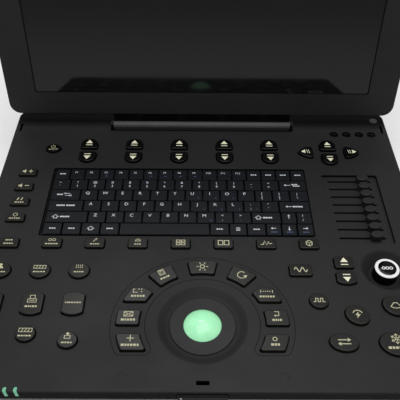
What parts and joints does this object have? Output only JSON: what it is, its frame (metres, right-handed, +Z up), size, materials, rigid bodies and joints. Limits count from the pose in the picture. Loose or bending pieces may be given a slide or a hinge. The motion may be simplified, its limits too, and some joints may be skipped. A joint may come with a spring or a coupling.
{
  "type": "ultrasound scanner",
  "caption": "Portable laptop-style ultrasound scanner with a hinged flat screen, trackball, rotary knob, slide controls and keyboard.",
  "frame": {"origin": "centre of the footprint of the whole scanner, lid open, on the table plane", "axes": "+X to the operator's right, +Y away from the operator towards the hinge, +Z up"},
  "size_m": [0.3624, 0.3503, 0.3199],
  "materials": {
    "shell_plastic": "fine moulded texture",
    "deck_plastic": "satin painted plastic",
    "trim_plastic": "satin",
    "ring_plastic": "semi gloss",
    "bezel_plastic": "satin black",
    "gloss_black": "gloss",
    "key_plastic": "satin",
    "key_gloss": "gloss",
    "letter_plastic": "matt",
    "ball_resin": "polished, backlit",
    "screen": "anti-glare panel, off",
    "hinge_metal": "bead blasted, grey anodised",
    "light_green": "lit light pipe",
    "rubber": "matt",
    "pad_rubber": "matt grey",
    "screw_steel": "black zinc",
    "battery_plastic": "moulded texture",
    "socket_plastic": "satin",
    "board": "solder mask"
  },
  "bodies": {
    "base": {"base_bottom": "shell_plastic", "base_deck": "deck_plastic", "arc_bezel": "deck_plastic", "slider_panel": "deck_plastic", "keyboard_tray": "bezel_plastic", "hinge_block": "gloss_black", "trackball_ring": "ring_plastic", "trackball_socket": "trim_plastic", "knob_dish": "ring_plastic", "corner_pad": "pad_rubber", "status_lights": "light_green", "feet": "rubber", "bottom_screws": "screw_steel", "battery_pack": "battery_plastic", "main_board": "board", "rear_panel": "socket_plastic", "probe_sockets": "socket_plastic"},
    "lid": {"lid_back": "shell_plastic", "lid_bezel": "bezel_plastic", "lcd_panel": "screen", "hinge_barrel": "hinge_metal", "hinge_neck": "gloss_black", "lid_hook": "screw_steel", "lid_bumpers": "rubber"},
    "trackball": {"trackball": "ball_resin"},
    "knob": {"knob": "key_gloss"},
    "knob_button": {"knob_button_cap": "key_gloss"},
    "front_latch": {"front_latch": "gloss_black"},
    "power_key": {"power_key": "key_gloss"},
    "soft_keys_rear": {"soft_keys_rear": "key_gloss"},
    "soft_keys_front": {"soft_keys_front": "key_gloss"},
    "nav_keys": {"nav_keys": "key_gloss"},
    "level_keys": {"level_keys": "key_plastic"},
    "mode_row_keys": {"mode_row_keys": "key_plastic"},
    "exam_keys": {"exam_keys": "key_plastic"},
    "key_doppler": {"key_doppler": "key_plastic"},
    "page_keys": {"page_keys": "key_plastic"},
    "key_pulse": {"key_pulse": "key_plastic"},
    "key_power_map": {"key_power_map": "key_plastic"},
    "key_flow": {"key_flow": "key_plastic"},
    "key_image": {"key_image": "key_plastic"},
    "key_freeze": {"key_freeze": "key_plastic"},
    "arc_key_cursor": {"arc_key_cursor": "key_plastic"},
    "arc_key_clear": {"arc_key_clear": "key_plastic"},
    "arc_key_trace": {"arc_key_trace": "key_plastic"},
    "arc_key_calc": {"arc_key_calc": "key_plastic"},
    "arc_key_assist": {"arc_key_assist": "key_plastic"},
    "arc_key_update": {"arc_key_update": "key_plastic"},
    "arc_key_caliper": {"arc_key_caliper": "key_plastic"},
    "arc_key_exit": {"arc_key_exit": "key_plastic"},
    "arc_key_set": {"arc_key_set": "key_plastic"},
    "letter_keys": {"letter_keys": "letter_plastic"},
    "slider_1": {"slider_1": "trim_plastic"},
    "slider_2": {"slider_2": "trim_plastic"},
    "slider_3": {"slider_3": "trim_plastic"},
    "slider_4": {"slider_4": "trim_plastic"},
    "slider_5": {"slider_5": "trim_plastic"},
    "slider_6": {"slider_6": "trim_plastic"},
    "slider_7": {"slider_7": "trim_plastic"},
    "slider_8": {"slider_8": "trim_plastic"}
  },
  "joints": [
    {"name": "lid_hinge", "type": "hinge", "parent": "base", "child": "lid", "pos_m": [0, 0.10167, 0.051], "axis": [1, 0, 0], "range_deg": [-25, 101.7]},
    {"name": "trackball_roll", "type": "hinge", "parent": "base", "child": "trackball", "pos_m": [0, -0.11983, 0.03187], "axis": [1, 0, 0], "continuous": true},
    {"name": "knob_turn", "type": "hinge", "parent": "base", "child": "knob", "pos_m": [0.1432, -0.06953, 0.046], "axis": [0, 0, 1], "continuous": true},
    {"name": "knob_press", "type": "slide", "parent": "knob", "child": "knob_button", "axis": [0, 0, -1], "range_m": [0, 0.001], "stiffness_N_per_m": 300, "springref_m": -0.001},
    {"name": "latch_press", "type": "slide", "parent": "base", "child": "front_latch", "axis": [0, 1, 0], "range_m": [0, 0.0012], "stiffness_N_per_m": 400, "springref_m": -0.001},
    {"name": "power_key_press", "type": "slide", "parent": "base", "child": "power_key", "axis": [0, 0, -1], "range_m": [0, 0.0013], "stiffness_N_per_m": 300, "springref_m": -0.001},
    {"name": "soft_keys_rear_press", "type": "slide", "parent": "base", "child": "soft_keys_rear", "axis": [0, 0, -1], "range_m": [0, 0.0013], "stiffness_N_per_m": 500, "springref_m": -0.001},
    {"name": "soft_keys_front_press", "type": "slide", "parent": "base", "child": "soft_keys_front", "axis": [0, 0, -1], "range_m": [0, 0.0013], "stiffness_N_per_m": 500, "springref_m": -0.001},
    {"name": "nav_keys_press", "type": "slide", "parent": "base", "child": "nav_keys", "axis": [0, 0, -1], "range_m": [0, 0.0013], "stiffness_N_per_m": 500, "springref_m": -0.001},
    {"name": "level_keys_press", "type": "slide", "parent": "base", "child": "level_keys", "axis": [0, 0, -1], "range_m": [0, 0.0013], "stiffness_N_per_m": 500, "springref_m": -0.001},
    {"name": "mode_row_keys_press", "type": "slide", "parent": "base", "child": "mode_row_keys", "axis": [0, 0, -1], "range_m": [0, 0.0013], "stiffness_N_per_m": 600, "springref_m": -0.001},
    {"name": "exam_keys_press", "type": "slide", "parent": "base", "child": "exam_keys", "axis": [0, 0, -1], "range_m": [0, 0.0013], "stiffness_N_per_m": 800, "springref_m": -0.001},
    {"name": "key_doppler_press", "type": "slide", "parent": "base", "child": "key_doppler", "axis": [0, 0, -1], "range_m": [0, 0.0013], "stiffness_N_per_m": 300, "springref_m": -0.001},
    {"name": "page_keys_press", "type": "slide", "parent": "base", "child": "page_keys", "axis": [0, 0, -1], "range_m": [0, 0.0013], "stiffness_N_per_m": 400, "springref_m": -0.001},
    {"name": "key_pulse_press", "type": "slide", "parent": "base", "child": "key_pulse", "axis": [0, 0, -1], "range_m": [0, 0.0013], "stiffness_N_per_m": 300, "springref_m": -0.001},
    {"name": "key_power_map_press", "type": "slide", "parent": "base", "child": "key_power_map", "axis": [0, 0, -1], "range_m": [0, 0.0013], "stiffness_N_per_m": 300, "springref_m": -0.001},
    {"name": "key_flow_press", "type": "slide", "parent": "base", "child": "key_flow", "axis": [0, 0, -1], "range_m": [0, 0.0013], "stiffness_N_per_m": 300, "springref_m": -0.001},
    {"name": "key_image_press", "type": "slide", "parent": "base", "child": "key_image", "axis": [0, 0, -1], "range_m": [0, 0.0013], "stiffness_N_per_m": 300, "springref_m": -0.001},
    {"name": "key_freeze_press", "type": "slide", "parent": "base", "child": "key_freeze", "axis": [0, 0, -1], "range_m": [0, 0.0013], "stiffness_N_per_m": 300, "springref_m": -0.001},
    {"name": "arc_key_cursor_press", "type": "slide", "parent": "base", "child": "arc_key_cursor", "axis": [0, 0, -1], "range_m": [0, 0.0013], "stiffness_N_per_m": 300, "springref_m": -0.001},
    {"name": "arc_key_clear_press", "type": "slide", "parent": "base", "child": "arc_key_clear", "axis": [0, 0, -1], "range_m": [0, 0.0013], "stiffness_N_per_m": 300, "springref_m": -0.001},
    {"name": "arc_key_trace_press", "type": "slide", "parent": "base", "child": "arc_key_trace", "axis": [0, 0, -1], "range_m": [0, 0.0013], "stiffness_N_per_m": 300, "springref_m": -0.001},
    {"name": "arc_key_calc_press", "type": "slide", "parent": "base", "child": "arc_key_calc", "axis": [0, 0, -1], "range_m": [0, 0.0013], "stiffness_N_per_m": 300, "springref_m": -0.001},
    {"name": "arc_key_assist_press", "type": "slide", "parent": "base", "child": "arc_key_assist", "axis": [0, 0, -1], "range_m": [0, 0.0013], "stiffness_N_per_m": 300, "springref_m": -0.001},
    {"name": "arc_key_update_press", "type": "slide", "parent": "base", "child": "arc_key_update", "axis": [0, 0, -1], "range_m": [0, 0.0013], "stiffness_N_per_m": 300, "springref_m": -0.001},
    {"name": "arc_key_caliper_press", "type": "slide", "parent": "base", "child": "arc_key_caliper", "axis": [0, 0, -1], "range_m": [0, 0.0013], "stiffness_N_per_m": 300, "springref_m": -0.001},
    {"name": "arc_key_exit_press", "type": "slide", "parent": "base", "child": "arc_key_exit", "axis": [0, 0, -1], "range_m": [0, 0.0013], "stiffness_N_per_m": 300, "springref_m": -0.001},
    {"name": "arc_key_set_press", "type": "slide", "parent": "base", "child": "arc_key_set", "axis": [0, 0, -1], "range_m": [0, 0.0013], "stiffness_N_per_m": 300, "springref_m": -0.001},
    {"name": "letter_keys_press", "type": "slide", "parent": "base", "child": "letter_keys", "axis": [0, 0, -1], "range_m": [0, 0.0013], "stiffness_N_per_m": 1500, "springref_m": -0.002},
    {"name": "slider_1_slide", "type": "slide", "parent": "base", "child": "slider_1", "axis": [1, 0, 0], "range_m": [-0.026, 0.004]},
    {"name": "slider_2_slide", "type": "slide", "parent": "base", "child": "slider_2", "axis": [1, 0, 0], "range_m": [-0.026, 0.004]},
    {"name": "slider_3_slide", "type": "slide", "parent": "base", "child": "slider_3", "axis": [1, 0, 0], "range_m": [-0.026, 0.004]},
    {"name": "slider_4_slide", "type": "slide", "parent": "base", "child": "slider_4", "axis": [1, 0, 0], "range_m": [-0.026, 0.004]},
    {"name": "slider_5_slide", "type": "slide", "parent": "base", "child": "slider_5", "axis": [1, 0, 0], "range_m": [-0.026, 0.004]},
    {"name": "slider_6_slide", "type": "slide", "parent": "base", "child": "slider_6", "axis": [1, 0, 0], "range_m": [-0.026, 0.004]},
    {"name": "slider_7_slide", "type": "slide", "parent": "base", "child": "slider_7", "axis": [1, 0, 0], "range_m": [-0.026, 0.004]},
    {"name": "slider_8_slide", "type": "slide", "parent": "base", "child": "slider_8", "axis": [1, 0, 0], "range_m": [-0.026, 0.004]}
  ]
}
